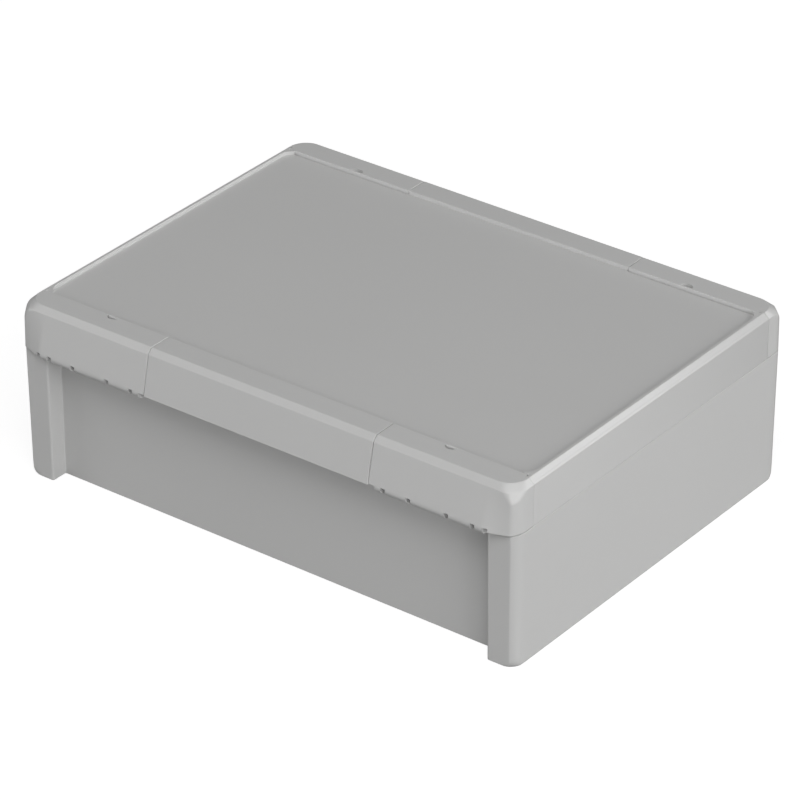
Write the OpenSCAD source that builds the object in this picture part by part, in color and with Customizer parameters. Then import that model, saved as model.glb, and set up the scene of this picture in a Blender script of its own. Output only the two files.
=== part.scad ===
// Wall-mounting case with a hinged lid held by four corner closures.
// Millimetres, +Z up. The origin is the middle of the footprint, at the back face that rests on the wall.
// The front is -Y. Each side feature is drawn once on the +Y side and mirrored.

/* [Case] */
// length of the case along X
case_l = 270; // [200:1:400]
// width between the faces of the corner posts along Y
case_w = 200; // [140:1:320]
// height from the back face to the top of the rims
case_h = 88; // [60:1:140]
// height of the line where lid and base meet
seam_h = 65.4; // [40:0.1:110]
// radius of the upright outer corners
corner_r = 3; // [1:0.5:8]
// amount that each outer wall of the base leans in towards the back
draft = 0.6; // [0:0.1:1.5]
// thickness of the floor
floor_t = 3; // [2:0.5:5]

/* [Corner posts] */
// length of each post along X
post_l = 14.8; // [10:0.1:25]
// depth of the long walls behind the post faces
recess_d = 9; // [4:0.5:15]
// bevel on the inner end of a post's top edge, which lets the closure swing; it tapers off to the corner
post_bevel = 2.2; // [1:0.1:2.5]
// distance of each wall screw from both outer faces
screw_in = 7.5; // [6:0.5:12]
// diameter of the wall screw hole
screw_d = 4.8; // [3:0.1:6.5]
// diameter of the channel above the wall screw
channel_d = 9.5; // [7:0.5:12]
// height of the seat for the wall screw's head
screw_seat = 8; // [4:0.5:20]
// height at which the rounding of the back corners starts
foot_h = 8.5; // [4:0.5:15]
// distance from both outer faces to the centre of that rounding
foot_in = 10; // [6:0.5:13]
// upright radius of that rounding
foot_arc = 14.5; // [12:0.5:20]
// thickness of the outer long walls
outer_wall_t = 2.6; // [2:0.1:4]

/* [Seal] */
// thickness of the tongue on top of the base walls
tongue_t = 1.4; // [1:0.1:2.5]
// height of the tongue above the seam
tongue_h = 1.2; // [0.5:0.1:3]
// thickness of the lid's lip outside the tongue
lip_t = 1.5; // [1:0.1:3]
// gap on each side of the tongue
tongue_gap = 0.3; // [0.2:0.05:0.6]
// height of the seal ring
seal_h = 3; // [2:0.5:5]
// gap between lid and base at the seam
seam_gap = 0.25; // [0.1:0.05:0.6]

/* [Lid] */
// depth of the keypad panel below the rims
panel_d = 1.7; // [0.5:0.1:4]
// thickness of the panel and of the lid's walls
lid_t = 2.5; // [2:0.1:4]
// bevel along the top edges
bevel = 2.5; // [1:0.1:5]
// flat width of the rims at the two ends
rim_w = 1.5; // [1:0.1:4]
// radius of the panel's corners
panel_r = 4.5; // [1:0.5:10]
// thickness of the webs behind the side faces
web_t = 1.6; // [1:0.1:2.5]

/* [Closures] */
// length of each closure along X, from the end face
closure_l = 73.6; // [50:0.1:110]
// width of the top strips along both long sides
strip_w = 14.3; // [10:0.1:20]
// distance that the side faces lean out from their bevel down to their lower edge
bulge = 4.2; // [0:0.1:8]
// lower edge of the lid's middle side face, above the seam
skirt_up = 1; // [0:0.1:4]
// thickness of the closures and of the side faces
skin_t = 2.5; // [1.5:0.1:4]
// height of the lip under the inner edge of each closure, below the rims
lip_h = 10; // [5:0.5:14]
// corner radius of each closure's top face
top_r = 9; // [4:0.5:12]
// corner radius of each closure at the foot of its bevel
mid_r = 6.5; // [3:0.5:9]
// height below the rims at which a closure's corner has the radius of the posts
corner_drop = 7.6; // [4:0.1:12]
// groove between a closure and the lid's middle section
groove = 0.4; // [0.3:0.05:1]
// gap between lid edge and closure edge, and above the posts
edge_gap = 0.3; // [0.3:0.05:1]
// distance from the outer face to the edge of the closure's end flange
ear_w = 12.5; // [8:0.5:20]
// length of the screwdriver slot
slot_l = 6.4; // [4:0.1:9]
// distance of the slot's middle from the end face
slot_in = 43; // [20:0.5:60]
// width of the screwdriver slot at its middle
slot_w = 2.4; // [1:0.1:4]
// depth of the screwdriver slot
slot_deep = 1.8; // [0.5:0.1:2]

/* [Hinges] */
// distance of the hinge lines beyond the post faces
axis_out = 1.1; // [0:0.1:4]
// height of the hinge lines above the seam
axis_up = 1.6; // [0:0.1:4]
// radius of the closure's hinge barrel
barrel_r = 2.9; // [2:0.1:5]
// distance from the closure's edge at the groove to the start of its barrel
barrel_in = 3; // [2:0.5:5]
// diameter of the hinge pins
pin_d = 2.5; // [1.5:0.1:4]
// radial running clearance of the barrel on its pin
pin_fit = 0.05; // [0.02:0.01:0.1]
// thickness of the base's hinge ribs
rib_t = 1.4; // [1:0.1:3]
// gap between a rib and the closure on each side
rib_gap = 0.3; // [0.3:0.05:0.6]
// height of each rib's root below the seam
rib_drop = 9; // [6:0.5:14]
// height of the closure's notches above the hinge line
notch_up = 1.1; // [0.5:0.1:2]
// distances of the ribs from the end face
rib_in = [19.5, 33, 52.6, 66]; // [17:0.1:70]

/* [Board bosses] */
// spacing of the floor bosses along X
boss_dx = 115; // [60:1:125]
// distance of the floor bosses from the middle along Y
boss_dy = 65; // [40:1:75]
// radius of a floor boss
boss_r = 4.5; // [3.5:0.5:8]
// height of the bosses above the floor
boss_h = 8; // [4:0.5:20]
// outside diameter of the threaded inserts
insert_d = 5.6; // [4:0.1:8]
// bore of the threaded inserts
insert_bore = 3.3; // [2:0.1:6]

/* [Hidden] */
$fn = 48;
grey = [0.74, 0.745, 0.74];
grey_closure = [0.735, 0.74, 0.735];
dark_seal = [0.16, 0.16, 0.17];
steel = [0.72, 0.73, 0.75];
brass = [0.78, 0.62, 0.32];
hx = case_l / 2;
hy = case_w / 2;
strip_y = hy - strip_w;
lid_y = strip_y - edge_gap;
wall_y = hy - recess_d;
post_x = hx - post_l;
panel_z = case_h - panel_d;
wall_t = lip_t + tongue_gap + tongue_t;
inside_x = hx - wall_t;
inside_y = lid_y - wall_t;
trough_x = post_x - 3;
mid_x = hx - closure_l - groove / 2;
cap_x = hx - closure_l + groove / 2;
ear_y = hy - ear_w + edge_gap;
bevel_z = case_h - bevel;
axis_y = hy + axis_out;
axis_z = seam_h + axis_up;
skirt_z = seam_h + skirt_up;
lean = bulge / (bevel_z - skirt_z);
over_post_z = seam_h + 0.4;
over_x = post_x - 0.4;
lid_z = seam_h + seam_gap;
panel_x = hx - bevel - rim_w;
lip_z = case_h - lip_h;
slot_r = (pow(slot_l / 2, 2) + pow(slot_w, 2)) / (2 * slot_w);
pin_r = pin_d / 2;
rib_r = pin_r + 0.85;
rib_z = seam_h - rib_drop;
notch_r = barrel_r + 0.2;
foot_r = (foot_in - corner_r) * sqrt(2) + corner_r;
seal_top = seam_h + tongue_h + 0.1 + seal_h;
e = 0.01;

// y of the leaning side face at height z
function face_y(z) = hy + lean * (bevel_z - z);

// upright block with rounded corners, centred on the origin
module plate(x, y, z0, z1, r) {
  translate([0, 0, z0]) {
    translate([-x, -y + r, 0]) cube([2 * x, 2 * (y - r), z1 - z0]);
    translate([-x + r, -y, 0]) cube([2 * (x - r), 2 * y, z1 - z0]);
    for (sx = [-1, 1], sy = [-1, 1])
      translate([sx * (x - r), sy * (y - r), 0]) cylinder(r = r, h = z1 - z0);
  }
}

// the same feature at both long sides
module both_sides() {
  children();
  mirror([0, 1, 0]) children();
}

// the same feature at all four corners
module four_corners() {
  both_sides() {
    children();
    mirror([1, 0, 0]) children();
  }
}

// a Y-Z outline drawn out along X
module along_x(x0, x1) {
  translate([x0, 0, 0]) rotate([90, 0, 90]) linear_extrude(x1 - x0) children();
}

// a round bar on the hinge line
module on_axis(r, x0, x1) {
  translate([x0, axis_y, axis_z]) rotate([0, 90, 0]) cylinder(r = r, h = x1 - x0);
}

// outer body of the base, leaning in towards the back
module base_body() {
  hull()
    for (sx = [-1, 1], sy = [-1, 1])
      translate([sx * (hx - corner_r), sy * (hy - corner_r), 0])
        cylinder(r1 = corner_r - draft, r2 = corner_r, h = seam_h);
}

// material taken off one back corner so that it is rounded like a ball
module foot_round() {
  arc = [for (i = [0:6]) let (z = foot_h * i / 6)
    [foot_r - foot_arc + sqrt(foot_arc * foot_arc - pow(foot_h - z, 2)), z]];
  difference() {
    translate([hx - foot_in, hy - foot_in, -1]) cube([foot_in + 1, foot_in + 1, foot_h + 1]);
    translate([hx - foot_in, hy - foot_in, 0])
      rotate_extrude()
        polygon(concat([[0, foot_h + 1], [0, -1.5], [arc[0][0], -1.5]], arc, [[foot_r, foot_h + 1]]));
  }
}

// tapered bevel along the top edge of one post face
module post_top_bevel() {
  hull() {
    along_x(post_x - 1, post_x)
      polygon([[hy - post_bevel, seam_h + 1], [hy - post_bevel, seam_h],
               [hy, seam_h - 1.2 * post_bevel], [hy + 1, seam_h - 1.2 * post_bevel - 1],
               [hy + 1, seam_h + 1]]);
    along_x(hx, hx + 1)
      polygon([[hy - 0.2, seam_h + 1], [hy - 0.2, seam_h], [hy, seam_h - 0.2], [hy + 1, seam_h - 1.2],
               [hy + 1, seam_h + 1]]);
  }
}

// plate that carries a hinge pin, standing across the double long wall
module hinge_rib() {
  along_x(-rib_t / 2, rib_t / 2) {
    polygon([[lid_y - 1, rib_z], [wall_y, rib_z], [axis_y + rib_r / 2, axis_z - rib_r * 0.866],
             [axis_y, axis_z + rib_r], [wall_y, seam_h - 0.4], [lid_y - 1, seam_h - 0.4]]);
    translate([axis_y, axis_z]) circle(r = rib_r);
  }
}

// floor boss places
module at_bosses() {
  for (x = [-1, 0, 1], y = [-1, 1]) translate([x * boss_dx, y * boss_dy, 0]) children();
}

// base moulding: posts, double long walls, sealing tongue, hinge ribs and floor bosses
module base() {
  color(grey) difference() {
    union() {
      difference() {
        base_body();
        plate(inside_x, inside_y, floor_t, seam_h + 1, panel_r);
        both_sides() {
          translate([-post_x, wall_y, -1]) cube([2 * post_x, recess_d + 2, seam_h + 2]);
          translate([-trough_x, lid_y, floor_t])
            cube([2 * trough_x, wall_y - outer_wall_t - lid_y, seam_h]);
        }
        four_corners() {
          foot_round();
          post_top_bevel();
        }
      }
      difference() {
        plate(inside_x + tongue_t, inside_y + tongue_t, seam_h - 1, seam_h + tongue_h, panel_r + tongue_t);
        plate(inside_x, inside_y, seam_h - 2, seam_h + tongue_h + 1, panel_r);
      }
      four_corners()
        for (d = rib_in) translate([hx - d, 0, 0]) hinge_rib();
      at_bosses() translate([0, 0, floor_t - 1]) cylinder(r = boss_r, h = boss_h + 1);
    }
    four_corners() {
      translate([hx - screw_in, hy - screw_in, -1]) cylinder(d = screw_d, h = seam_h);
      translate([hx - screw_in, hy - screw_in, screw_seat]) cylinder(d = channel_d, h = seam_h);
      on_axis(pin_r, hx - rib_in[3] - 2, hx - rib_in[0] + 2);
    }
    at_bosses() translate([0, 0, floor_t - 1]) cylinder(d = insert_d, h = boss_h + 2);
  }
}

// outline shared by the top strip, the bevel and the leaning side face
module side_skin(z_low) {
  polygon([[strip_y, case_h], [hy - bevel, case_h], [hy, bevel_z], [face_y(z_low), z_low],
           [face_y(z_low) - skin_t, z_low], [face_y(bevel_z - 1) - skin_t, bevel_z - 1],
           [hy - bevel - 1, case_h - skin_t], [strip_y, case_h - skin_t]]);
}

// outline that closes a side section at its end
module side_web(z_low) {
  polygon([[strip_y, case_h - 1], [hy - bevel, case_h - 1], [hy - 0.6, bevel_z],
           [face_y(z_low) - 0.6, z_low], [strip_y, z_low]]);
}

// X-Z outline of an end wall of the lid with its rim
module end_rim() {
  translate([0, hy - ear_w, 0]) rotate([90, 0, 0]) linear_extrude(2 * (hy - ear_w))
    polygon([[hx - lid_t, lid_z], [hx, lid_z], [hx, bevel_z], [hx - bevel, case_h], [panel_x, case_h],
             [panel_x, panel_z - lid_t], [hx - lid_t, panel_z - lid_t]]);
}

// one middle section of the lid: strip, bevel, side face and the webs behind it
module lid_side() {
  along_x(-mid_x, mid_x) {
    side_skin(skirt_z);
    polygon([[lid_y - 1, panel_z - lid_t], [lid_y - 1, panel_z], [strip_y + 1, case_h - 1],
             [strip_y + 1, case_h - skin_t], [lid_y, panel_z - lid_t]]);
    translate([lid_y - 1, panel_z - 1]) square([strip_y - lid_y + 1, 1]);
  }
  for (x = [-mid_x, -mid_x / 3 - web_t / 2, mid_x / 3 - web_t / 2, mid_x - web_t])
    along_x(x, x + web_t) {
      side_web(skirt_z + 0.6);
      translate([lid_y - 1, skirt_z + 0.6]) square([2, panel_z - skirt_z - 2]);
    }
}

// lid moulding: recessed panel, end rims, middle side sections and the groove for the seal
module lid() {
  color(grey) difference() {
    union() {
      plate(hx, lid_y, lid_z, panel_z, 0.5);
      difference() {
        plate(panel_x + 1, lid_y, panel_z - 1, case_h, 0.5);
        plate(panel_x, strip_y, panel_z - 2, case_h + 1, panel_r);
      }
      for (a = [0, 180]) rotate([0, 0, a]) {
        end_rim();
        lid_side();
      }
    }
    plate(hx - lid_t, lid_y - lid_t, seal_top + 1, panel_z - lid_t, 2);
    plate(inside_x - 2 * tongue_gap - lip_t, inside_y - 2 * tongue_gap - lip_t, lid_z - 1, seal_top + 2, 2);
    seal_ring(lid_z - 1, seal_top);
  }
}

// ring between the lid's outer lip and its inner rib
module seal_ring(z0, z1) {
  difference() {
    plate(hx - lip_t, lid_y - lip_t, z0, z1, panel_r + tongue_t);
    plate(inside_x - tongue_gap, inside_y - tongue_gap, z0 - 1, z1 + 1, panel_r);
  }
}

// foam seal at the top of the groove, above the tongue
module seal() {
  color(dark_seal) seal_ring(seal_top - seal_h, seal_top);
}

// upright disc of one corner level, its rim tangent to both faces at distance d inside the outer faces
module corner_disc(d, r, z, h) {
  translate([hx - d - r, hy - d - r, z]) cylinder(r = r, h = h, $fn = 32);
}

// part of a closure that stands over its corner post; t is the amount cut off all outer faces
module closure_corner(x0, t) {
  z0 = over_post_z - t;
  slope = t * (sqrt(2) - 1);
  top_in = bevel + slope;
  intersection() {
    hull() {
      along_x(x0, x0 + e)
        polygon([[strip_y - t, case_h - t], [hy - top_in, case_h - t], [hy - t, bevel_z - slope],
                 [face_y(over_post_z) - t, z0], [strip_y - t, z0]]);
      corner_disc(t, corner_r - min(t, corner_r - 0.5), z0, case_h - corner_drop - slope - z0);
      corner_disc(t, mid_r - t, bevel_z - slope - e, e);
      corner_disc(top_in, top_r - t, case_h - t - e, e);
      translate([0, strip_y - t + e, 0]) rotate([90, 0, 0]) linear_extrude(e)
        polygon([[x0, z0], [hx - t, z0], [hx - t, bevel_z - slope], [hx - top_in, case_h - t],
                 [x0, case_h - t]]);
    }
    translate([x0, strip_y - t, z0]) cube([hx - x0, strip_w + bulge, case_h - z0]);
  }
}

// cut that lets one rib into the closure's barrel; the side face stays whole above the barrel
module rib_notch(x0, x1) {
  on_axis(rib_r + rib_gap, x0, x1);
  difference() {
    on_axis(notch_r, x0, x1);
    translate([x0 - 1, axis_y + pin_r, axis_z + notch_up]) cube([x1 - x0 + 2, notch_r, notch_r]);
  }
}

// corner closure at +X +Y: strip, side face, hinge barrel and the end flange round the corner
module closure_shape() {
  difference() {
    union() {
      along_x(cap_x, over_x) {
        side_skin(axis_z);
        translate([strip_y, lip_z]) square([lip_t, case_h - 1 - lip_z]);
      }
      along_x(cap_x, cap_x + web_t) side_web(axis_z + barrel_r);
      on_axis(barrel_r, cap_x + barrel_in, over_x - e);
      difference() {
        closure_corner(over_x - e, 0);
        closure_corner(over_x - 2 * e, skin_t);
      }
    }
    translate([panel_x - edge_gap, lid_y - skin_t, seam_h])
      cube([hx - panel_x + 1, ear_y - lid_y + skin_t, case_h]);
    translate([hx - slot_in, strip_y + slot_w - slot_r, case_h - slot_deep])
      cylinder(r = slot_r, h = slot_deep + 1);
    on_axis(pin_r + pin_fit, cap_x - 1, hx - rib_in[0] + 3);
    for (d = rib_in) rib_notch(hx - d - rib_t / 2 - rib_gap, hx - d + rib_t / 2 + rib_gap);
  }
}

module closure_rear_right() { color(grey_closure) closure_shape(); }
module closure_rear_left() { color(grey_closure) mirror([1, 0, 0]) closure_shape(); }
module closure_front_right() { color(grey_closure) mirror([0, 1, 0]) closure_shape(); }
module closure_front_left() { color(grey_closure) mirror([0, 1, 0]) mirror([1, 0, 0]) closure_shape(); }

// one steel pin through the four ribs at each closure
module hinge_pins() {
  color(steel) four_corners() on_axis(pin_r, hx - rib_in[3] - 2, hx - rib_in[0] + 2);
}

// threaded bushes pressed into the floor bosses
module board_inserts() {
  color(brass) at_bosses() difference() {
    translate([0, 0, floor_t]) cylinder(d = insert_d, h = boss_h);
    translate([0, 0, floor_t - 1]) cylinder(d = insert_bore, h = boss_h + 2);
  }
}

base();
lid();
seal();
closure_front_left();
closure_front_right();
closure_rear_left();
closure_rear_right();
hinge_pins();
board_inserts();
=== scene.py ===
# %% [markdown]
# # A wall-mounting case with a hinged lid
# The object is a light grey case for electronics. The long walls of its base are set back between four
# corner posts, its lid carries a shallow recess for a keypad, and four closures fold over the corners of
# the lid. The solids of the CAD model say where everything sits. Here each moulding gets the small edge
# radii and the finish of the real one, and the scene gets its floor, its light and its camera.

# %% Open the frame
import math

import bmesh
import bpy
import numpy as np
from mathutils import Matrix, Vector
from mathutils.geometry import delaunay_2d_cdt


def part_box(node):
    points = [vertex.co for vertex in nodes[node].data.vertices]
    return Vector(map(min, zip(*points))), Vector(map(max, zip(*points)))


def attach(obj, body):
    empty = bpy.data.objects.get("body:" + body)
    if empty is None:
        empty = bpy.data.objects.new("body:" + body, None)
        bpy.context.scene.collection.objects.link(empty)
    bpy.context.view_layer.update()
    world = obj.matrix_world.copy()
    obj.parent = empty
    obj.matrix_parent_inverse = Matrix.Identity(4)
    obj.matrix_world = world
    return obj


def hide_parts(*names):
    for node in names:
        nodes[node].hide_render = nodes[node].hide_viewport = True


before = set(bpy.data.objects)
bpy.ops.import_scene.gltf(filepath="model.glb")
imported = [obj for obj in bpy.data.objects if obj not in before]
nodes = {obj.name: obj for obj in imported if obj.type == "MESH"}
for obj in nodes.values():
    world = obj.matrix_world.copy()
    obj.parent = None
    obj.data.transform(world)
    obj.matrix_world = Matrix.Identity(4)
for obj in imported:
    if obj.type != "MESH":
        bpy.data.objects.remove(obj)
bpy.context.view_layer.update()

MM = 0.001
print("nodes:", sorted(nodes))

# %% [markdown]
# ## Sizes
# The mouldings meet each other along named lines: the seam between base and lid, the rims on top and the
# hinge lines along both long sides. Length and height are read from the boxes of the CAD solids. The other
# values repeat those of the CAD source, apart from gaps and edges that real mouldings have a little finer.

# %% Sizes in millimetres
half_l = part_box("base")[1][0] / MM
half_w = 100.0
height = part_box("lid")[1][2] / MM
seam = 65.4
recess_d, post_l, strip_w, edge_gap = 9.0, 14.8, 14.3, 0.3
wall_y = half_w - recess_d
post_x = half_l - post_l
strip_y = half_w - strip_w
lid_y = strip_y - edge_gap
wall_t, outer_wall_t, floor_t, tongue_t, tongue_h = 3.2, 2.6, 3.0, 1.4, 1.2
inner_x, inner_y = half_l - wall_t, lid_y - wall_t
panel_d, bevel, lean_out = 1.7, 2.5, 4.2
panel_z, bevel_z = height - panel_d, height - bevel
side_low = seam + 1.0
lean = lean_out / (bevel_z - side_low)
hinge_y, hinge_z = half_w + 1.1, seam + 1.6
closure_l, closure_gap = 73.65, 0.25
closure_x0 = half_l - closure_l
middle_x = closure_x0 - closure_gap
rib_x = half_l - np.array([19.5, 33.0, 52.6, 66.0])
print("half length", half_l, "height", height, "ribs at", rib_x)

# %% [markdown]
# ## Outlines
# A moulded part is mostly an outline carried up to a height. Its corners are arcs, never points, because
# steel for a mould is cut with a round tool. Two short flat stretches beside each arc hold the shading of
# the flats still, so that only the arc itself looks round.

# %% Round the corners of an outline
def rounded(corners, radii, steps=5, hold=0.12, closed=True):
    """Replaces each corner by an arc: its centre lies on the bisector at radius / sin(half angle), and the
    arc runs between the two tangent points. A held point follows on both sides of the arc."""
    corner = np.asarray(corners, float)
    radius = np.broadcast_to(np.asarray(radii, float), len(corner))[:, None]
    back = np.roll(corner, 1, 0) - corner
    ahead = np.roll(corner, -1, 0) - corner
    back = back / np.linalg.norm(back, axis=1, keepdims=True)
    ahead = ahead / np.linalg.norm(ahead, axis=1, keepdims=True)
    half = np.arccos(np.clip((back * ahead).sum(1, keepdims=True), -1, 1)) / 2
    tangent = radius / np.tan(half)
    bisector = back + ahead
    centre = corner + bisector / np.linalg.norm(bisector, axis=1, keepdims=True) * radius / np.sin(half)
    start, end = corner + back * tangent - centre, corner + ahead * tangent - centre
    turn = (math.pi - 2 * half)[:, None]
    share = np.linspace(0, 1, steps + 1)[None, :, None]
    arc = (np.sin((1 - share) * turn) * start[:, None] + np.sin(share * turn) * end[:, None]) / np.sin(turn)
    arc = arc + centre[:, None]
    before = (corner + back * (tangent + hold))[:, None]
    after = (corner + ahead * (tangent + hold))[:, None]
    out = np.concatenate([before, arc, after], axis=1)
    if not closed:
        out = np.concatenate([corner[:1], out[1:-1].reshape(-1, 2), corner[-1:]])
    return out.reshape(-1, 2)


def refined(loop, longest):
    """Splits every stretch of a closed outline into equal parts no longer than the given length."""
    gap = np.roll(loop, -1, 0) - loop
    count = np.maximum(1, np.ceil(np.linalg.norm(gap, axis=1) / longest)).astype(int)
    index = np.repeat(np.arange(len(loop)), count)
    step = np.arange(len(index)) - np.repeat(np.cumsum(count) - count, count)
    return loop[index] + gap[index] * (step / count[index])[:, None]


def outward(loop):
    """Offset of each point for one unit of growth: the sum of both edge normals over 1 + their product."""
    edge = np.roll(loop, -1, 0) - loop
    normal = np.stack([edge[:, 1], -edge[:, 0]], 1) / np.linalg.norm(edge, axis=1, keepdims=True)
    last = np.roll(normal, 1, 0)
    return (normal + last) / (1 + (normal * last).sum(1, keepdims=True))


def box_loop(x, y, r, steps=5, centre=(0, 0)):
    """Counter-clockwise rectangle of half sizes x and y with corner radius r."""
    corners = np.array([[x, -y], [x, y], [-x, y], [-x, -y]]) + np.asarray(centre)
    return rounded(corners, r, steps)


def circle(r, x=0.0, y=0.0, count=40):
    """Points at equal angles on a circle."""
    turn = np.linspace(0, 2 * math.pi, count, endpoint=False)
    return np.stack([x + r * np.cos(turn), y + r * np.sin(turn)], 1)


print("a rounded square has", len(box_loop(1, 1, 0.2)), "points")

# %% [markdown]
# ## Mouldings
# Each moulding is collected as grids and flat faces, then welded into closed skins. A grid is a whole array
# of points, rows by columns. A flat face fills the space between outlines with triangles, and an even-odd
# count leaves its holes open. Edges sharper than a set angle stay crisp.

# %% Collect grids and flats into one mesh
class Moulding:
    """Grids and flats in millimetres, welded into one object in metres."""

    def __init__(self, name):
        self.name, self.points, self.faces, self.count = name, [], [], 0

    def add(self, points, faces):
        """Keeps points and the faces that index them."""
        points = np.asarray(points, float).reshape(-1, 3)
        self.points.append(points)
        self.faces += (np.asarray(faces) + self.count).tolist()
        self.count += len(points)

    def grid(self, p, around=True, closed_rows=False):
        """Quads between neighbours: row r, column c joins r + 1 and c + 1, wrapping where closed."""
        rows, columns = p.shape[:2]
        r = np.arange(rows if closed_rows else rows - 1)[:, None]
        c = np.arange(columns if around else columns - 1)[None]
        r1, c1 = (r + 1) % rows, (c + 1) % columns
        quads = np.stack(np.broadcast_arrays(r * columns + c, r * columns + c1,
                                             r1 * columns + c1, r1 * columns + c), -1)
        self.add(p, quads.reshape(-1, 4))

    def flat(self, loops, z, place=None):
        """Fills between outlines: the triangles of the constrained triangulation whose middle lies inside
        an odd number of outlines."""
        points = np.concatenate(loops)
        starts = np.cumsum([0] + [len(loop) for loop in loops])
        edges = np.concatenate([np.stack([np.arange(first, last), np.roll(np.arange(first, last), -1)], 1)
                                for first, last in zip(starts[:-1], starts[1:])])
        made = delaunay_2d_cdt([Vector(q) for q in points.tolist()], edges.tolist(), [], 0, 1e-7)
        filled = np.array([tuple(q) for q in made[0]])
        triangles = np.array(made[2])
        middle = filled[triangles].mean(1)
        tail, head = points[edges[:, 0]], points[edges[:, 1]]
        spans = (tail[None, :, 1] > middle[:, None, 1]) != (head[None, :, 1] > middle[:, None, 1])
        rise = head[:, 1] - tail[:, 1]
        rise = np.where(np.abs(rise) < 1e-12, 1e-12, rise)
        cross_x = tail[:, 0] + (middle[:, None, 1] - tail[:, 1]) * (head[:, 0] - tail[:, 0]) / rise
        inside = (spans & (cross_x > middle[:, None, 0])).sum(1) % 2 == 1
        sheet = np.column_stack([filled, np.full(len(filled), float(z))])
        self.add(sheet if place is None else place(sheet), triangles[inside])

    def build(self, sharp=32.0, mirror=(1, 1, 1)):
        """Welds the doubles, points every face outwards and marks edges sharper than the angle."""
        mesh = bpy.data.meshes.new(self.name)
        points = np.concatenate(self.points) * np.asarray(mirror) * MM
        mesh.from_pydata(points.tolist(), [], self.faces)
        bm = bmesh.new()
        bm.from_mesh(mesh)
        bmesh.ops.remove_doubles(bm, verts=bm.verts, dist=2e-6)
        bmesh.ops.dissolve_degenerate(bm, edges=bm.edges, dist=1e-6)
        bmesh.ops.recalc_face_normals(bm, faces=bm.faces)
        limit = math.radians(sharp)
        for edge in bm.edges:
            edge.smooth = edge.calc_face_angle(4.0) < limit
        open_edges = sum(not edge.is_manifold for edge in bm.edges)
        for face in bm.faces:
            face.smooth = True
        bm.to_mesh(mesh)
        bm.free()
        piece = bpy.data.objects.new(self.name, mesh)
        bpy.context.scene.collection.objects.link(piece)
        print(self.name, "faces", len(mesh.polygons), "open edges", open_edges)
        return piece


# %% [markdown]
# ## The base
# The base is one deep moulding. Its outer skin is the outline of the four posts and the set-back walls,
# carried from the back face up to the seam. The walls lean in slightly towards the back so that the part
# leaves its mould, the back corners are rounded like balls, and the top edge of each post is bevelled to
# let the closure swing. The outline is one array, the heights are another, and the skin is their product.

# %% Outer skin of the base
post_r, foot_h, foot_in, foot_arc = 3.0, 8.5, 10.0, 14.5
foot_r = (foot_in - post_r) * math.sqrt(2) + post_r
draft, back_edge, top_edge = 0.6, 0.7, 0.12
post_bevel, wall_bevel, bevel_slope = 2.2, 0.2, 1.2
cut_x, cut_y = 2.8, 2.7

front_right = np.array([[post_x, -wall_y], [post_x, -half_w], [half_l - cut_x, -half_w],
                        [half_l, cut_y - half_w]])
right_side = np.concatenate([front_right, front_right[::-1] * [1, -1]])
base_corners = np.concatenate([right_side, -right_side])
base_radii = np.tile([0.6, 1.05, 1.05, 7.4, 7.4, 1.05, 1.05, 0.6], 2)
base_outline = refined(rounded(base_corners, base_radii, 6), 2.5)


def foot_pulled(x, y, level):
    """Pulls the corners of the back towards a ball: the distance from the ball's axis is softly held under
    foot_r - foot_arc + sqrt(foot_arc^2 - (foot_h - z)^2), and grows by 1 mm per mm above foot_h."""
    limit = foot_r - foot_arc + np.sqrt(foot_arc ** 2 - np.clip(foot_h - level, 0, None) ** 2)
    limit = limit + np.clip(level - foot_h, 0, None)
    dx, dy = np.abs(x) - (half_l - foot_in), np.abs(y) - (half_w - foot_in)
    distance = np.hypot(dx, dy) + 1e-9
    soft = 0.35
    pulled = distance - soft * np.logaddexp(0, (distance - limit) / soft)
    at_foot = (dx > 0) & (dy > 0)
    return (np.where(at_foot, np.sign(x) * (half_l - foot_in + dx / distance * pulled), x),
            np.where(at_foot, np.sign(y) * (half_w - foot_in + dy / distance * pulled), y))


def base_skin(outline):
    """Rows of the outer skin. Each row is the outline, shrunk by the edge radius at the back, moved in by
    the draft in proportion to its depth below the seam, pulled in at the feet, and at the top held under
    the sloping plane of the post bevel."""
    turn = np.radians(np.linspace(0, 90, 6))
    low = np.stack([back_edge * (1 - np.sin(turn)), back_edge * (1 - np.cos(turn))], 1)
    rise = np.array([[0.0, z] for z in (1.0, 2, 3, 4, 5, 6, 7, 7.8, 8.6, 9.6, 12, 40, 60)])
    rows = np.concatenate([[[back_edge + 0.25, 0.0]], low, rise])
    normal, sign = outward(outline), np.sign(outline)
    ax, ay = np.abs(outline).T
    drafted = np.stack([np.clip((ax - post_x) / post_l, 0, 1), np.clip((ay - wall_y) / recess_d, 0, 1)], 1)
    level = rows[:, 1][:, None]
    plan = outline[None] - normal[None] * rows[:, 0][:, None, None]
    plan = plan - (sign * drafted)[None] * draft * (1 - level / seam)[..., None]
    x, y = foot_pulled(plan[..., 0], plan[..., 1], level)
    skin = np.stack([x, y, np.broadcast_to(level, x.shape)], -1)

    on_post = ay > wall_y + 1
    rounded_edge = np.stack([~on_post | (np.abs(normal[:, 0]) > 0.9), ~on_post], 1)
    bevel_d = np.where(on_post, post_bevel - (post_bevel - wall_bevel) * drafted[:, 0], wall_bevel)
    top = []
    for share in (-0.06, 0.0, 0.06, 0.94, 1.0):
        up = max(share, 0)
        z = np.minimum(seam - bevel_slope * bevel_d * (1 - share), seam)
        plan = outline - sign * drafted * draft * (1 - z / seam)[:, None]
        plan = plan - normal * top_edge * up * rounded_edge
        held = np.sign(plan[:, 1]) * np.minimum(np.abs(plan[:, 1]), half_w - bevel_d * up)
        top.append(np.stack([plan[:, 0], np.where(on_post, held, plan[:, 1]), z], -1))
    return np.concatenate([skin, np.array(top)])


base_rows = base_skin(base_outline)
print("base skin rows and columns:", base_rows.shape[:2])

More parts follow.
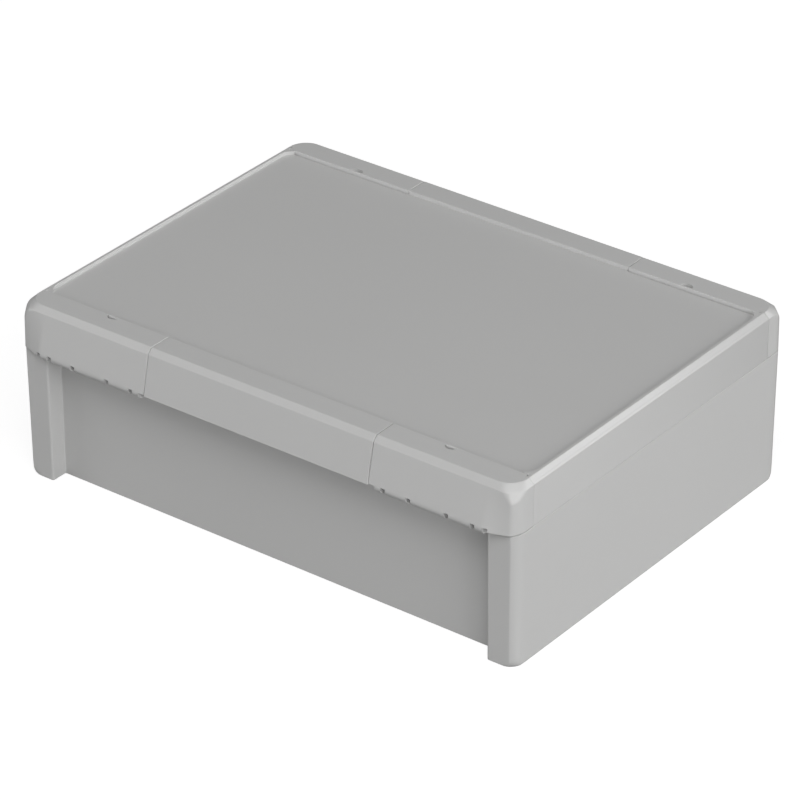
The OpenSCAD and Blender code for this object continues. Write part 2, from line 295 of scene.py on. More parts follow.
# %% [markdown]
# ## The hollow of the base
# Everything inside is drawn the same way, as an outline carried up through a few levels. The cavity ends
# at the top in a tongue that presses into the seal. Two troughs make the long walls double, which keeps
# every wall thin and even, so that no thick lump of plastic shrinks and leaves a dent outside.

# %% Cavity and tongue
def risen(loop, levels):
    """Rows of one outline at the given (growth, height) pairs."""
    levels = np.asarray(levels, float)
    plan = loop[None] + outward(loop)[None] * levels[:, 0][:, None, None]
    z = np.broadcast_to(levels[:, 1][:, None], plan.shape[:2])
    return np.concatenate([plan, z[..., None]], -1)


def edge_arc(g0, z0, r, start, stop, steps=4):
    """(growth, height) pairs on an arc of radius r about (g0, z0), from one angle to another in degrees."""
    turn = np.radians(np.linspace(start, stop, steps + 1))
    return np.stack([g0 + r * np.cos(turn), z0 + r * np.sin(turn)], 1).tolist()


tongue_z = seam + tongue_h
inner_r, floor_r = 4.5, 1.5

base = Moulding("base_moulding")
base.grid(base_rows)

cavity = box_loop(inner_x, inner_y, inner_r)
floor_fillet = edge_arc(-floor_r, floor_t + floor_r, floor_r, -90, 0, 5)
cavity_rows = risen(cavity, [[-floor_r - 0.3, floor_t]] + floor_fillet
                    + [[0, floor_t + floor_r + 0.3], [0, seam], [0, tongue_z - 0.25], [0.15, tongue_z],
                       [0.3, tongue_z]])
base.grid(cavity_rows)
tongue = box_loop(inner_x + tongue_t, inner_y + tongue_t, inner_r + tongue_t)
tongue_rows = risen(tongue, [[0.3, seam], [0, seam], [0, tongue_z - 0.25], [-0.15, tongue_z],
                             [-0.3, tongue_z]])
base.grid(tongue_rows)
base.flat([cavity_rows[-1][:, :2], tongue_rows[-1][:, :2]], tongue_z)
print("cavity rows:", len(cavity_rows), "tongue rows:", len(tongue_rows))

# %% [markdown]
# The box hangs on a wall by four screws, which pass down channels in the posts and are hidden by the
# closures, outside the seal. A circuit board stands on six bosses with threaded brass inserts.

# %% Troughs, screw channels and bosses
trough_w = wall_y - outer_wall_t - lid_y
screw_in, screw_r, screw_seat, channel_r = 7.5, 2.4, 8.0, 4.75
boss_r, insert_r, boss_z = 4.5, 2.8, floor_t + 8.0


def trough(side):
    """The hollow between the two skins of a long wall. Its opening at the seam is handed back."""
    loop = box_loop(post_x - 3, trough_w / 2, 0.8, centre=(0, side * (lid_y + trough_w / 2)))
    rows = risen(loop, [[0, floor_t], [0, seam - 0.3], [0.3, seam]])
    base.grid(rows)
    base.flat([rows[0][:, :2]], floor_t)
    return rows[-1][:, :2]


def screw_channel(x, y):
    """The channel down a post to the seat of the screw's head, and the hole through the back. Its openings
    at the seam and at the back are handed back."""
    channel = risen(circle(channel_r, x, y), [[0, screw_seat], [0, seam - 0.25], [0.25, seam]])
    screw = risen(circle(screw_r, x, y), [[0.2, 0], [0, 0.2], [0, screw_seat]])
    base.grid(channel)
    base.grid(screw)
    base.flat([channel[0][:, :2], screw[-1][:, :2]], screw_seat)
    return channel[-1][:, :2], screw[0][:, :2]


def boss(x, y):
    """A boss on the floor with the bore for an insert. The outline of its foot is handed back."""
    post = risen(circle(boss_r, x, y), [[0.6, floor_t], [0.18, floor_t + 0.18], [0, floor_t + 0.6],
                                        [0, boss_z - 0.3], [-0.3, boss_z]])
    seat = risen(circle(insert_r, x, y), [[0, floor_t - 1], [0, boss_z - 0.1], [0.1, boss_z]])
    base.grid(post)
    base.grid(seat)
    base.flat([post[-1][:, :2], seat[-1][:, :2]], boss_z)
    base.flat([seat[0][:, :2]], floor_t - 1)
    return post[0][:, :2]


trough_holes = [trough(side) for side in (1, -1)]
screw_x, screw_y = half_l - screw_in, half_w - screw_in
openings = [screw_channel(end * screw_x, side * screw_y) for end in (1, -1) for side in (1, -1)]
channel_holes, back_holes = zip(*openings)
boss_feet = [boss(x, y) for x in (-115.0, 0.0, 115.0) for y in (-65.0, 65.0)]
base.flat([cavity_rows[0][:, :2], *boss_feet], floor_t)
base.flat([base_rows[0][:, :2], *back_holes], 0)
base.flat([base_rows[-1][:, :2], tongue_rows[0][:, :2], *trough_holes, *channel_holes], seam)
print("flats and walls collected:", len(base.points))

# %% [markdown]
# ## The hinge ribs
# Four thin ribs under each closure carry its pin. A rib is an outline in the Y-Z plane, a plate with a
# round eye, drawn out along X with a small chamfer on its edges.

# %% Ribs with their eyes
def drawn_along_x(outline, xs, growth):
    """Rows of a Y-Z outline at the given x places, grown or shrunk at each by the given amount."""
    plan = outline[None] + outward(outline)[None] * np.asarray(growth)[:, None, None]
    x = np.broadcast_to(np.asarray(xs, float)[:, None], plan.shape[:2])
    return np.stack([x, plan[..., 0], plan[..., 1]], -1)


def upright(x, side):
    """Turns a flat drawn in plan into the Y-Z plane at the given x."""
    return lambda p: np.stack([np.full(len(p), x), side * p[:, 0], p[:, 1]], 1)


def plate(piece, outline, x0, x1, side):
    """A flat plate with this Y-Z outline between two x places, its edges chamfered by 0.15 mm."""
    chamfer = 0.15
    rows = drawn_along_x(outline, [x0, x0 + chamfer, x1 - chamfer, x1], [-chamfer, 0, 0, -chamfer])
    rows[..., 1] *= side
    piece.grid(rows)
    for row in (rows[0], rows[-1]):
        piece.flat([row[:, 1:] * [side, 1]], 0, upright(row[0, 0], side))


eye_r, rib_t, rib_low, rib_top = 1.7, 1.4, seam - 9, seam - 0.4
eye_turn = np.radians(np.linspace(-53, 90, 16))
rib_outline = np.concatenate([
    [[lid_y - 0.8, rib_low], [wall_y, rib_low]],
    np.stack([hinge_y + eye_r * np.cos(eye_turn), hinge_z + eye_r * np.sin(eye_turn)], 1),
    [[wall_y, rib_top], [lid_y - 0.8, rib_top]]])
for side in (1, -1):
    for end in (1, -1):
        for x in rib_x * end:
            plate(base, rib_outline, x - rib_t / 2, x + rib_t / 2, side)
base_piece = base.build()

# %% [markdown]
# ## The leaning sides
# The lid's middle sections and the closures share one outline: a flat strip on top, a bevel, and a side
# face that leans out down to its lower edge. On a closure this outline is carried along the long side and
# then swung round the corner. Each level of the outline has an inset from the outer faces and a radius for
# the corner. The corner is an arc that starts square to the end face, ends at an edge on the side face, and
# is cut by a flat facet. Towards the top the arc moves in until it runs smoothly into both faces.

# %% Levels of the side outline
skin_t, corner_r, edge_in, least_r = 2.5, 9.2, 2.6, 0.6
kink_r, arc_low_z = 0.55, 84.0
fade_end, fade_l = half_l - 1.0, 13.0
face_end, inner_face_end = 68.4, 70.2
face_z = np.array([83.8, 82.6, 81.5, 80.9, 80.4, 79.9, 79.0, 77, 74, 71.5])


def levels(t):
    """Inset, height, corner radius and facet of the side outline, moved inwards by t along its own normals:
    each 45 degree kink moves by t * tan(22.5 degrees) along its neighbour."""
    k = t * math.tan(math.radians(22.5))
    path = rounded([[bevel + 3, height - t], [bevel + k, height - t], [t, bevel_z - k], [t, 60]],
                   [0.5, kink_r, kink_r, 0.5], 4, 0.15, closed=False)[1:-1]
    lower = face_z[face_z < path[-1, 1] - 0.1]
    z = np.concatenate([path[:, 1], lower, [face_end if t < 1 else inner_face_end]])
    inset = np.concatenate([path[:, 0], np.full(len(lower) + 1, t)])
    return inset, z, np.full(len(z), max(corner_r - t, least_r)), facet(z, t)


def facet(z, t):
    """Sum of x and y on the flat facet that cuts the corner: 230 mm at z 84.5, 0.6 mm less per mm up, and
    1.9 mm less per mm inwards."""
    return half_l + half_w - 5.0 - 0.6 * (z - 84.5) - 1.9 * t


def bulge(x, z, has_corner=True):
    """How far the side face stands out at height z. Towards the corner it runs out evenly."""
    fade = np.clip((fade_end - x) / fade_l, 0, 1) if has_corner else 1.0
    return np.clip(bevel_z - z, 0, None) * lean * fade


def smooth_max(a, b, k):
    """The larger of two values, rounded where they come within k of each other."""
    return np.maximum(a, b) + k * np.maximum(1 - np.abs(a - b) / k, 0) ** 2 / 4


def reach(start, direction, inset, z, r, cut, has_corner=True):
    """Distance along each section line to the outline, found by halving the interval 44 times. A point is
    outside where |max(q, 0)| + min(max q, 0) - r, its gap to the side or its gap to the facet is positive,
    with q measured from the centre of the arc."""
    low, high = np.zeros((len(start), len(z))), np.full((len(start), len(z)), 60.0)
    beyond = np.interp(z, [arc_low_z, bevel_z], [edge_in, 0.0])
    for _ in range(44):
        middle = (low + high) / 2
        x = start[:, :1] + middle * direction[:, :1]
        y = start[:, 1:] + middle * direction[:, 1:]
        gap = side_gap = y - bulge(x, z, has_corner) - (half_w - inset)
        if has_corner:
            qx, qy = x - (half_l - inset - r), side_gap + r - beyond
            gap = np.hypot(np.maximum(qx, 0), np.maximum(qy, 0)) + np.minimum(np.maximum(qx, qy), 0) - r
            gap = smooth_max(gap, side_gap, 0.4)
            gap = smooth_max(gap, (x + y - bulge(x, z) - cut) / math.sqrt(2), 0.3)
        inside = gap < 0
        low, high = np.where(inside, middle, low), np.where(inside, high, middle)
    return (low + high) / 2


print("levels of the outer face:", len(levels(0)[0]), "and of the inner face:", len(levels(skin_t)[0]))

# %% [markdown]
# ## Lower edge, barrel and notches
# Below the side face a section ends in one of three tails: a thin lower edge, the hinge barrel, or a notch
# that lets a rib of the base through to the pin. All three have the same number of points, so that
# neighbouring sections join into one grid.

# %% Three tails of a section
tail_count = 22
barrel_r, barrel_y, barrel_z = 3.2, hinge_y - 0.24, hinge_z - 0.31
notch_r, notch_z = 2.4, 67.3


def edge_tail(start, direction, z_low, t0, has_corner, r=0.3):
    """The thin lower edge: down the face, round the edge, across, and up the inside. Its insets are turned
    into distances along the section."""
    turn = np.radians([0, 30, 60, 90])
    down = np.linspace(face_end, z_low + r + 0.05, 4)[1:]
    up = np.linspace(z_low + r + 0.05, inner_face_end, tail_count - 11)[:-1]
    outer = np.stack([t0 + r - r * np.cos(turn), z_low + r - r * np.sin(turn)], 1)
    inner = np.stack([skin_t - r + r * np.sin(turn), z_low + r - r * np.cos(turn)], 1)
    across = [[(t0 + skin_t) / 2, z_low]]
    inset, z = np.concatenate([np.stack([np.full(3, t0), down], 1), outer, across, inner,
                               np.stack([np.full(len(up), skin_t), up], 1)]).T
    radius = np.maximum(corner_r - inset, least_r)
    return np.stack([reach(start, direction, inset, z, radius, facet(z, 0), has_corner)[0], z], 1)


def barrel_tail(y0):
    """The hinge barrel: from the face's own slope round the axis and up to the inside."""
    turn = np.radians(np.linspace(math.degrees(math.atan(lean)), -262, tail_count))
    return np.stack([barrel_y + barrel_r * np.cos(turn) - y0, barrel_z + barrel_r * np.sin(turn)], 1)


def notch_tail(x, y0):
    """A notch: down the face, in under it, and up on an arc about the hinge axis that clears the rib."""
    z = np.array([68.2, 67.9, 67.6, notch_z + 0.1])
    y = half_w + bulge(x, z)
    first = math.degrees(math.asin((notch_z - hinge_z) / notch_r))
    turn = np.radians(np.linspace(first, 92, tail_count - 5))
    eye = np.stack([hinge_y + notch_r * np.cos(turn), hinge_z + notch_r * np.sin(turn)], 1)
    return np.concatenate([np.stack([y, z], 1), [[y[-1] - 0.1, notch_z]], eye]) - [y0, 0]


print("points in a barrel and in a notch:", len(barrel_tail(0)), len(notch_tail(post_x, 0)))

# %% Sections of a side: strip, bevel, face, lower edge and back up the inside
lip_t, slot_wall = 1.5, 0.8


def strip_edge(length, d, pocket_w, lip_z, slot_z):
    """Distance and height from the strip's inner edge to its bevel: up, round the edge by 0.2 mm, and
    through the pocket for a screwdriver, which leaves a thin wall towards the recess."""
    turn = np.radians([0, 30, 60, 90])
    over = np.stack([d + 0.2 - 0.2 * np.cos(turn), height - d - 0.2 + 0.2 * np.sin(turn)], 1)
    near = min(slot_wall + d, length * 0.3)
    ease = min(0.5, 0.3 * pocket_w)
    pocket_z = slot_z if pocket_w > 0 else height - d
    pocket = [[near, height - d], [near + ease, height - d - ease], [near + ease + 0.02, pocket_z],
              [near + pocket_w, pocket_z], [near + pocket_w + 0.02, height - d]]
    last = [[min(near + 3.4, length * 0.8), height - d]]
    return np.concatenate([[[d, lip_z], [d, slot_z]], over, pocket, last])


def side_rows(start, direction, kinds, shrink, slot, lip_z, slot_z, has_corner=True):
    """One closed row of (distance, height) per section: up the inner edge, over the strip and the bevel,
    down the face, round the lower edge or the hinge barrel, and back along the inside. A kind is barrel,
    notch or the height of a thin lower edge."""
    inner_z = levels(skin_t)[1]
    inner = reach(start, direction, *levels(skin_t), has_corner)
    lip = [[lip_t + 0.3, height - skin_t], [lip_t, height - skin_t - 0.3], [lip_t, lip_z]]
    rows = []
    for i, (kind, d, pocket_w) in enumerate(zip(kinds, shrink, slot)):
        here = slice(i, i + 1)
        outer = reach(start[here], direction[here], *levels(d), has_corner)[0]
        if kind == "barrel":
            tail = barrel_tail(start[i, 1])
        elif kind == "notch":
            tail = notch_tail(*start[i])
        else:
            tail = edge_tail(start[here], direction[here], kind, d, has_corner)
        rows.append(np.concatenate([strip_edge(outer[0], d, pocket_w, lip_z, slot_z),
                                    np.stack([outer, levels(d)[1]], 1), tail,
                                    np.stack([inner[i], inner_z], 1)[::-1], lip]))
    flat = np.array(rows)
    x = start[:, :1] + flat[..., 0] * direction[:, :1]
    y = start[:, 1:] + flat[..., 0] * direction[:, 1:]
    return flat, np.stack([x, y, flat[..., 1]], -1)


print("strip edge points:", len(strip_edge(14, 0, 0, height - 10, height - 2)))

# %% [markdown]
# ## The closures
# A closure is one clip of the same plastic. Its lower edge rolls into a hinge barrel with four notches for
# the ribs and a fifth beside the post, and a half-moon slot in its top takes the blade of a screwdriver.
# Sections stand side by side along X. Where the lower edge changes, two sections share one place and make
# the step between them. Past the end of the strip the sections swing round the inner corner by a quarter
# turn.

# %% Places of the sections
slot_x, slot_w, slot_half = half_l - 43.0, 2.6, 3.2
slot_r = (slot_half ** 2 + slot_w ** 2) / (2 * slot_w)
notch_half, end_notch_w = 1.15, 2.3
barrel_x0, barrel_x1 = closure_x0 + 3.2, post_x + 0.4
over_z = seam + 0.2
swing_x, swing_y = half_l - 4.3, half_w - 12.35

stops = [(closure_x0, barrel_x0, hinge_z)]
left = barrel_x0
for x in sorted(rib_x):
    stops += [(left, x - notch_half, "barrel"), (x - notch_half, x + notch_half, "notch")]
    left = x + notch_half
end_notch = barrel_x1 + end_notch_w
stops += [(left, barrel_x1, "barrel"), (barrel_x1, end_notch, "notch"), (end_notch, swing_x, over_z)]

crescent = slot_x + slot_half * np.sin(np.radians(np.linspace(-90, 90, 25)))
end_fillet = np.array([0, 0.04, 0.15, 0.4, 0.55])
extra = np.concatenate([crescent, closure_x0 + end_fillet])
section_x, kinds = [], []
for low, high, kind in stops:
    spacing = 1.2 if low > 110 else 6.0
    even = np.linspace(low, high, max(2, int((high - low) / spacing) + 2))
    places = np.unique(np.round(np.concatenate([even, extra[(extra > low) & (extra < high)]]), 4))
    section_x += places.tolist()
    kinds += [kind] * len(places)
section_x = np.array(section_x)
shrink = np.interp(section_x, closure_x0 + end_fillet, [0.36, 0.2, 0.07, 0.0, 0.0])
slot = np.sqrt(np.clip(slot_r ** 2 - (section_x - slot_x) ** 2, 0, None)) - (slot_r - slot_w)
slot = np.where(np.abs(section_x - slot_x) < slot_half, np.clip(slot, 0, None), 0)

swing = np.radians(np.concatenate([np.linspace(90, 2, 28), [0.8, 0]]))
start = np.concatenate([np.stack([section_x, np.full(len(section_x), strip_y)], 1),
                        np.tile([[swing_x, swing_y]], (len(swing), 1))])
direction = np.concatenate([np.tile([[0.0, 1.0]], (len(section_x), 1)),
                            np.stack([np.cos(swing), np.sin(swing)], 1)])
kinds += [over_z] * len(swing)
shrink = np.concatenate([shrink, np.zeros(len(swing) - 1), [0.12]])
slot = np.concatenate([slot, np.zeros(len(swing))])
flat_rows, closure_rows = side_rows(start, direction, kinds, shrink, slot, height - 10, height - 1.8)
print("closure: sections and points in each:", closure_rows.shape[:2])

# %% Assemble the four closures
web_y, web_top = strip_y + 0.6, height - 0.6
web_outline = np.array([[web_y, inner_face_end], [half_w + 2.0, inner_face_end],
                        [half_w - 0.8, web_top - 2.4], [half_w - 3.0, web_top], [web_y, web_top]])
web_t = 1.6


def closure(name, sx, sy):
    """The skin, its two flat ends and a web across the hollow behind the inner end. A mirrored copy serves
    each corner."""
    piece = Moulding(name + "_moulding")
    piece.grid(closure_rows)
    piece.flat([flat_rows[0]], 0,
               lambda p: np.stack([np.full(len(p), closure_x0), strip_y + p[:, 0], p[:, 1]], 1))
    piece.flat([flat_rows[-1]], 0,
               lambda p: np.stack([swing_x + p[:, 0], np.full(len(p), swing_y), p[:, 1]], 1))
    plate(piece, web_outline, closure_x0 + 0.2, closure_x0 + 0.2 + web_t, 1)
    return piece.build(mirror=(sx, sy, 1))


closures = {}
for front_rear, sy in (("front", -1), ("rear", 1)):
    for end, sx in (("left", -1), ("right", 1)):
        name = f"closure_{front_rear}_{end}"
        closures[name] = closure(name, sx, sy)

# %% [markdown]
# ## The lid
# The lid is a shallow pan turned over. Its top is the recessed panel, its two ends carry a narrow rim with
# a bevel, and its long sides carry the middle sections between the closures. Underneath, a groove for the
# foam seal runs round between an outer lip and an inner rib.

# %% Pan of the lid
lid_z = seam + 0.12
seal_top = seam + tongue_h + 0.1 + 3.0
under_z = panel_z - skin_t
pan_x, step_x, step_y = half_l - 0.6, middle_x - 0.2, lid_y + 1.3
quarter = np.array([[pan_x, lid_y], [step_x, lid_y], [step_x, step_y]])
half_pan = np.concatenate([quarter, quarter[::-1] * [-1, 1]])
pan = rounded(np.concatenate([half_pan, -half_pan]), [0.5, 0.1, 0.1, 0.5] * 3, 3, 0.1)
pan_rows = risen(pan, [[-0.3, lid_z], [-0.2, lid_z], [-0.06, lid_z + 0.06], [0, lid_z + 0.2],
                       [0, panel_z - 0.3], [0, panel_z - 0.2], [-0.06, panel_z - 0.06], [-0.2, panel_z],
                       [-0.3, panel_z]])


def groove_wall(x, y, r, growth, top):
    """One wall of the groove, eased by 0.15 mm where it meets the underside."""
    return risen(box_loop(x, y, r), [[growth, lid_z], [0, lid_z + 0.15], [0, top]])


lid = Moulding("lid_moulding")
lid.grid(pan_rows)
lid.flat([pan_rows[-1][:, :2]], panel_z)
groove_out = groove_wall(half_l - lip_t, lid_y - lip_t, inner_r + tongue_t, 0.15, seal_top)
groove_in = groove_wall(inner_x - 0.3, inner_y - 0.3, inner_r, -0.15, seal_top)
rib_in = groove_wall(inner_x - 2.1, inner_y - 2.1, 2, 0.15, seal_top + 1)
hollow = risen(box_loop(half_l - skin_t, lid_y - skin_t, 2),
               [[0, seal_top + 1], [0, under_z - 1], [-0.3, under_z - 0.3], [-1, under_z]])
for rows in (groove_out, groove_in, rib_in, hollow):
    lid.grid(rows)
lid.flat([pan_rows[0][:, :2], groove_out[0][:, :2]], lid_z)
lid.flat([groove_out[-1][:, :2], groove_in[-1][:, :2]], seal_top)
lid.flat([groove_in[0][:, :2], rib_in[0][:, :2]], lid_z)
lid.flat([rib_in[-1][:, :2], hollow[0][:, :2]], seal_top + 1)
lid.flat([hollow[-1][:, :2]], under_z)
print("pan collected:", len(lid.points), "surfaces")

# %% Rims at both ends
panel_x, recess_r, ear_y = half_l - 4.0, 6.4, half_w - 12.5
arc_turn = np.linspace(math.radians(60), 0, 10)
arc = np.stack([panel_x - recess_r + recess_r * np.cos(arc_turn),
                strip_y - recess_r + recess_r * np.sin(arc_turn)], 1)
upper_half = np.concatenate([
    [[half_l, ear_y - 0.25], [half_l - 0.07, ear_y - 0.07], [half_l - 0.25, ear_y], [panel_x + 0.1, ear_y],
     [panel_x, ear_y - 0.1], [panel_x, strip_y - 0.12], [arc[0, 0], strip_y - 0.12]],
    arc, [[panel_x, strip_y - 7]]])
rim = np.concatenate([upper_half, upper_half[::-1] * [1, -1]])
wide_z, rim_t = 84.5, 1.4
bevel_path = rounded([[0, 84], [0, bevel_z], [bevel, height], [bevel + 2, height]], 0.5, 4, 0.12,
                     closed=False)[1:-1]
rim_low = lid_z + 0.05
rim_levels = np.concatenate([[[0, rim_low], [0, wide_z - 0.1], [0, wide_z + 0.1]], bevel_path])


def rim_rows():
    """Rows of the rim's outline. Its outer side follows the bevel, its other sides are rounded at the top,
    and below the recess it narrows to a thin wall inside the end face."""
    inset, z = rim_levels.T
    top_inset = np.interp(z, [height - 0.2, height - 0.06, height], [0, 0.06, 0.2])
    top_inset[-1] += 0.1
    bottom_inset = np.where(np.arange(len(z)) == 0, 0.1, 0)
    normal, is_outer = outward(rim), rim[:, 0] > half_l - 0.5
    shrunk = bottom_inset[:, None] + np.where(is_outer, 0, top_inset[:, None])
    rows = rim[None] - normal[None] * shrunk[..., None]
    rows[..., 0] -= np.where(is_outer, inset[:, None], 0)
    thin = (z < wide_z)[:, None] & ~is_outer & (rows[..., 0] < half_l - rim_t)
    rows[..., 0] = np.where(thin, half_l - rim_t, rows[..., 0])
    return np.concatenate([rows, np.broadcast_to(z[:, None, None], rows.shape[:2] + (1,))], -1)


for end in (1, -1):
    rows = rim_rows() * [end, 1, 1]
    lid.grid(rows)
    lid.flat([rows[-1][:, :2]], height)
    lid.flat([rows[0][:, :2]], rim_low)
print("rim rows and columns:", rows.shape[:2])

# %% Middle sections of the long sides
middle_places = np.concatenate([end_fillet - middle_x, np.linspace(-50, 50, 7),
                                middle_x - end_fillet[::-1]])
count = len(middle_places)
middle_shrink = np.interp(np.abs(middle_places), middle_x - end_fillet[::-1], [0.0, 0.0, 0.04, 0.1, 0.2])
middle_start = np.stack([middle_places, np.full(count, strip_y)], 1)
middle_flat, middle_rows = side_rows(middle_start, np.tile([[0.0, 1.0]], (count, 1)), [side_low] * count,
                                     middle_shrink, np.zeros(count), panel_z - 1.5, panel_z - 1.1, False)
for side in (1, -1):
    lid.grid(middle_rows * [1, side, 1])
    for i in (0, -1):
        lid.flat([middle_flat[i]], 0, lambda p: np.stack([np.full(len(p), middle_places[i]),
                                                          side * (strip_y + p[:, 0]), p[:, 1]], 1))
    for x in (0.2 - middle_x, -middle_x / 3 - web_t / 2, middle_x / 3 - web_t / 2, middle_x - 0.2 - web_t):
        plate(lid, web_outline, x, x + web_t, side)
lid_piece = lid.build()

# %% [markdown]
# ## Finishes
# Every finish is worked out from the position inside the piece, so it stays put when a piece swings. The
# housing is one light grey plastic from satin moulds: almost even in colour, with a very fine grain from
# the mould and a faint flow pattern. The closures come from their own mould and are a shade different.

# %% Arithmetic for shader sockets
class Wire:
    """One output of a shader tree. Ordinary arithmetic on it adds Math nodes."""

    def __init__(self, tree, output):
        self.tree, self.output = tree, output

    def node(self, kind, settings=None, out=0, **inputs):
        """Any other node: its type, its settings, then its inputs as numbers or wires."""
        made = self.tree.nodes.new(kind)
        for key, value in (settings or {}).items():
            setattr(made, key, value)
        for key, value in inputs.items():
            slot_key = int(key[1:]) if key[0] == "i" and key[1:].isdigit() else key.replace("_", " ")
            if isinstance(value, Wire):
                self.tree.links.new(value.output, made.inputs[slot_key])
            else:
                made.inputs[slot_key].default_value = value
        return Wire(self.tree, made.outputs[out])

    def maths(self, operation, *values):
        """A Math node with this operation on the given wires or numbers."""
        numbered = {f"i{k}": value for k, value in enumerate(values)}
        return self.node("ShaderNodeMath", {"operation": operation}, **numbered)

    def __add__(self, other):
        return self.maths("ADD", self, other)

    def __sub__(self, other):
        return self.maths("SUBTRACT", self, other)

    def __mul__(self, other):
        return self.maths("MULTIPLY", self, other)

    __radd__, __rmul__ = __add__, __mul__


def finish(name, **fixed):
    """A new material, its Principled node with the fixed inputs set, and its object coordinates."""
    material = bpy.data.materials.new(name)
    material.use_nodes = True
    tree = material.node_tree
    shader = tree.nodes["Principled BSDF"]
    for key, value in fixed.items():
        shader.inputs[key.replace("_", " ")].default_value = value
    place = Wire(tree, tree.nodes.new("ShaderNodeTexCoord").outputs["Object"])
    return material, shader, place


def noise(place, scale, detail=2.0, rough=0.5):
    """Cloudy noise between 0 and 1 with this many waves per metre."""
    return place.node("ShaderNodeTexNoise", {}, Vector=place, Scale=scale, Detail=detail, Roughness=rough)


def blend(low, high, factor):
    """Two colours mixed by a wire."""
    return factor.node("ShaderNodeMix", {"data_type": "RGBA"}, 2, i0=factor, i6=(*low, 1), i7=(*high, 1))


def wired(shader, **inputs):
    """Feeds the named inputs of a shader from wires."""
    for key, wire in inputs.items():
        wire.tree.links.new(wire.output, shader.inputs[key.replace("_", " ")])


print("shader arithmetic ready")


# %% Plastic, foam, steel and brass
def plastic(name, tone, shift):
    """Satin moulded plastic: cloudy flow marks a few centimetres wide and a grain of about 0.3 mm."""
    material, shader, place = finish(name, IOR=1.5)
    moved = place.node("ShaderNodeVectorMath", {"operation": "ADD"}, i0=place, i1=(shift, shift, 0))
    flow = noise(moved, 14.0, 3.0)
    grain = noise(moved, 3200.0, 2.0, 0.6)
    low, high = [[c * k for c in tone] for k in (0.985, 1.015)]
    wired(shader, Base_Color=blend(low, high, flow * 0.7 + grain * 0.3),
          Roughness=0.38 + (flow - 0.5) * 0.08 + (grain - 0.5) * 0.1,
          Normal=place.node("ShaderNodeBump", {}, Height=grain, Strength=0.25, Distance=0.00002))
    return material


def foam(name):
    """Closed-cell sealing foam: dark, dull and full of tiny pits."""
    material, shader, place = finish(name, IOR=1.4)
    cells = place.node("ShaderNodeTexVoronoi", {}, 0, Vector=place, Scale=1400.0)
    wired(shader, Base_Color=blend((0.035, 0.035, 0.037), (0.075, 0.075, 0.078), cells),
          Roughness=0.8 + cells * 0.15,
          Normal=place.node("ShaderNodeBump", {}, Height=cells, Strength=0.6, Distance=0.0002))
    return material


def drawn_steel(name):
    """Bright drawn wire: fine lines that run along X."""
    material, shader, place = finish(name, Metallic=1.0)
    stretched = place.node("ShaderNodeVectorMath", {"operation": "MULTIPLY"}, i0=place, i1=(40, 5000, 5000))
    lines = noise(stretched, 1.0)
    wired(shader, Base_Color=blend((0.50, 0.50, 0.51), (0.66, 0.66, 0.67), lines),
          Roughness=0.22 + lines * 0.2)
    return material


def turned_brass(name):
    """Turned brass: fine rings that follow the height, a little dulled."""
    material, shader, place = finish(name, Metallic=1.0)
    stretched = place.node("ShaderNodeVectorMath", {"operation": "MULTIPLY"}, i0=place, i1=(300, 300, 6000))
    rings = noise(stretched, 1.0)
    wired(shader, Base_Color=blend((0.55, 0.36, 0.13), (0.74, 0.52, 0.22), rings),
          Roughness=0.25 + rings * 0.2)
    return material


grey = (0.60, 0.60, 0.595)
case_plastic = plastic("case_plastic_finish", grey, 0.0)
closure_plastic = plastic("closure_plastic_finish", [c * 1.01 for c in grey], 0.7)
seal_foam, pin_steel = foam("seal_foam_finish"), drawn_steel("pin_steel_finish")
insert_brass = turned_brass("insert_brass_finish")
print("finishes:", [m.name for m in bpy.data.materials if m.name.endswith("_finish")])

# %% Give every piece its body and its finish, and hide the CAD part it stands in for
rides = {"closure_front_left": "closure_front_left", "closure_front_right": "closure_front_right",
         "closure_rear_left": "lid", "closure_rear_right": "lid"}
pieces = [(base_piece, "case", "base", "case_plastic", case_plastic),
          (lid_piece, "lid", "lid", "case_plastic", case_plastic)]
pieces += [(closures[name], rides[name], name, "closure_plastic", closure_plastic) for name in closures]
for piece, body, part, slot_name, material in pieces:
    piece.data.materials.clear()
    piece.data.materials.append(material)
    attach(piece, body)
    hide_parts(part)
for part, material in (("seal", seal_foam), ("hinge_pins", pin_steel), ("board_inserts", insert_brass)):
    nodes[part].data.materials.clear()
    nodes[part].data.materials.append(material)
print("pieces in place:", len(pieces))

# %% [markdown]
# ## Floor, light and camera
# The box stands on a sheet that looks white and throws only a little light back on its sides. Soft boxes
# stand all round it: strong ones on the right, high in front and behind, and weaker ones at the corner, on
# the left and in front.

# %% Floor and surroundings
floor_mesh = bpy.data.meshes.new("floor_sheet")
half_floor = 6.0
floor_corners = [(-half_floor, -half_floor, 0), (half_floor, -half_floor, 0), (half_floor, half_floor, 0),
                 (-half_floor, half_floor, 0)]
floor_mesh.from_pydata(floor_corners, [], [(0, 1, 2, 3)])
floor = bpy.data.objects.new("floor_sheet", floor_mesh)
bpy.context.scene.collection.objects.link(floor)
sheet = bpy.data.materials.new("floor_sheet_finish")
sheet.use_nodes = True
tree = sheet.node_tree
tree.nodes.clear()
path = Wire(tree, tree.nodes.new("ShaderNodeLightPath").outputs["Is Camera Ray"])
matt = path.node("ShaderNodeBsdfDiffuse", Color=(0.25, 0.25, 0.25, 1))
seen = path.node("ShaderNodeAddShader", i0=path.node("ShaderNodeBsdfDiffuse", Color=(0.3, 0.3, 0.3, 1)),
                 i1=path.node("ShaderNodeEmission", Color=(1, 1, 1, 1), Strength=0.85))
shown = path.node("ShaderNodeMixShader", i0=path, i1=matt, i2=seen)
tree.links.new(shown.output, tree.nodes.new("ShaderNodeOutputMaterial").inputs["Surface"])
floor_mesh.materials.append(sheet)

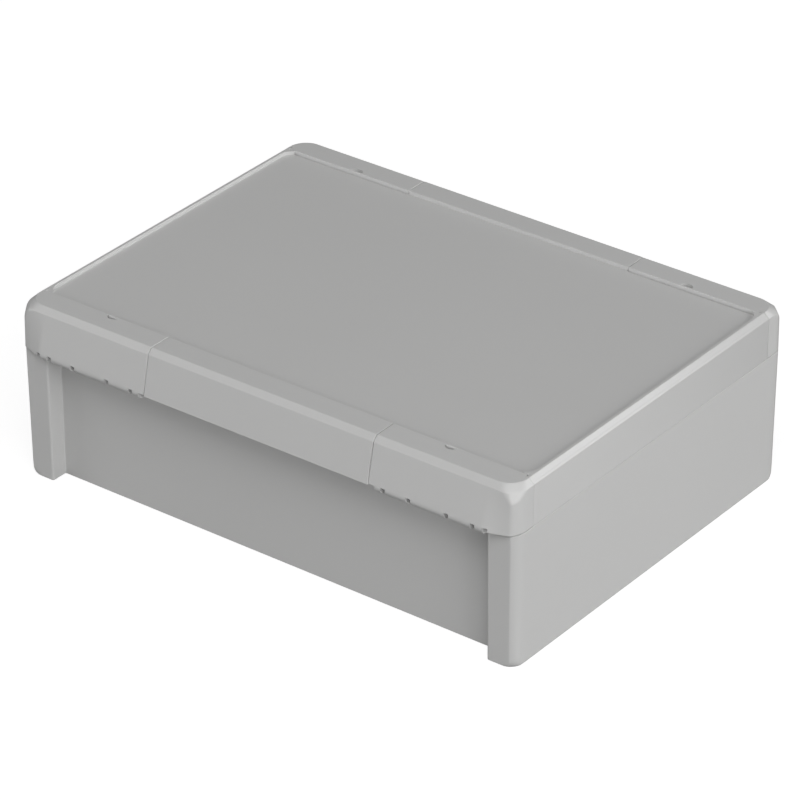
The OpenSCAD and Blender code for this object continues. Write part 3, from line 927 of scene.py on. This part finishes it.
world = bpy.data.worlds.new("surroundings")
bpy.context.scene.world = world
world.use_nodes = True
tree = world.node_tree
tree.nodes.clear()
light_path = tree.nodes.new("ShaderNodeLightPath")
rays = [Wire(tree, light_path.outputs[key]) for key in ("Is Camera Ray", "Is Transmission Ray")]
direct = rays[0].maths("MAXIMUM", rays[0], rays[1])
around = direct.node("ShaderNodeBackground", Color=(1, 1, 1, 1), Strength=0.02)
white = direct.node("ShaderNodeBackground", Color=(1, 1, 1, 1), Strength=1.0)
shown = direct.node("ShaderNodeMixShader", i0=direct, i1=around, i2=white)
tree.links.new(shown.output, tree.nodes.new("ShaderNodeOutputWorld").inputs["Surface"])
print("floor half width in metres:", half_floor)


# %% Lamps and camera
def lamp(name, azimuth, elevation, watts, distance=3.6, size=1.8):
    """A square soft lamp aimed at the middle of the box, placed by its angle from +X and its elevation."""
    data = bpy.data.lights.new(name, "AREA")
    data.size, data.energy = size, watts
    made = bpy.data.objects.new(name, data)
    a, e = math.radians(azimuth), math.radians(elevation)
    toward = Vector((math.cos(a) * math.cos(e), math.sin(a) * math.cos(e), math.sin(e)))
    made.location = toward * distance + Vector((0, 0, 0.04))
    made.rotation_mode = "QUATERNION"
    made.rotation_quaternion = toward.to_track_quat("Z", "Y")
    bpy.context.scene.collection.objects.link(made)
    return made


lamp("right_softbox", -15, 10, 46.8)
lamp("key_softbox", -60, 58, 48.0)
lamp("rear_softbox", 40, 32, 47.6)
lamp("corner_softbox", -38, 10, 28.0)
lamp("left_softbox", -150, 10, 18.8)
lamp("high_left_softbox", -150, 32, 13.2)
lamp("front_softbox", -115, 10, 13.6)

turn_angle, tilt_angle, roll = math.radians(37.36), math.radians(30.10), -0.0025
toward = Vector((math.sin(turn_angle) * math.cos(tilt_angle), -math.cos(turn_angle) * math.cos(tilt_angle),
                 math.sin(tilt_angle)))
camera = bpy.data.objects.new("camera", bpy.data.cameras.new("camera"))
bpy.context.scene.collection.objects.link(camera)
bpy.context.scene.camera = camera
camera.location = (1.0629, -1.3936, 1.0540)
camera.rotation_mode = "QUATERNION"
camera.rotation_quaternion = toward.to_track_quat("Z", "Y") @ Matrix.Rotation(roll, 3, "Z").to_quaternion()
camera.data.lens, camera.data.sensor_width = 205.2, 36.0
camera.data.clip_end = 50
bpy.context.scene.view_settings.view_transform = "Standard"
print("camera stands", round(camera.location.length, 3), "m away")
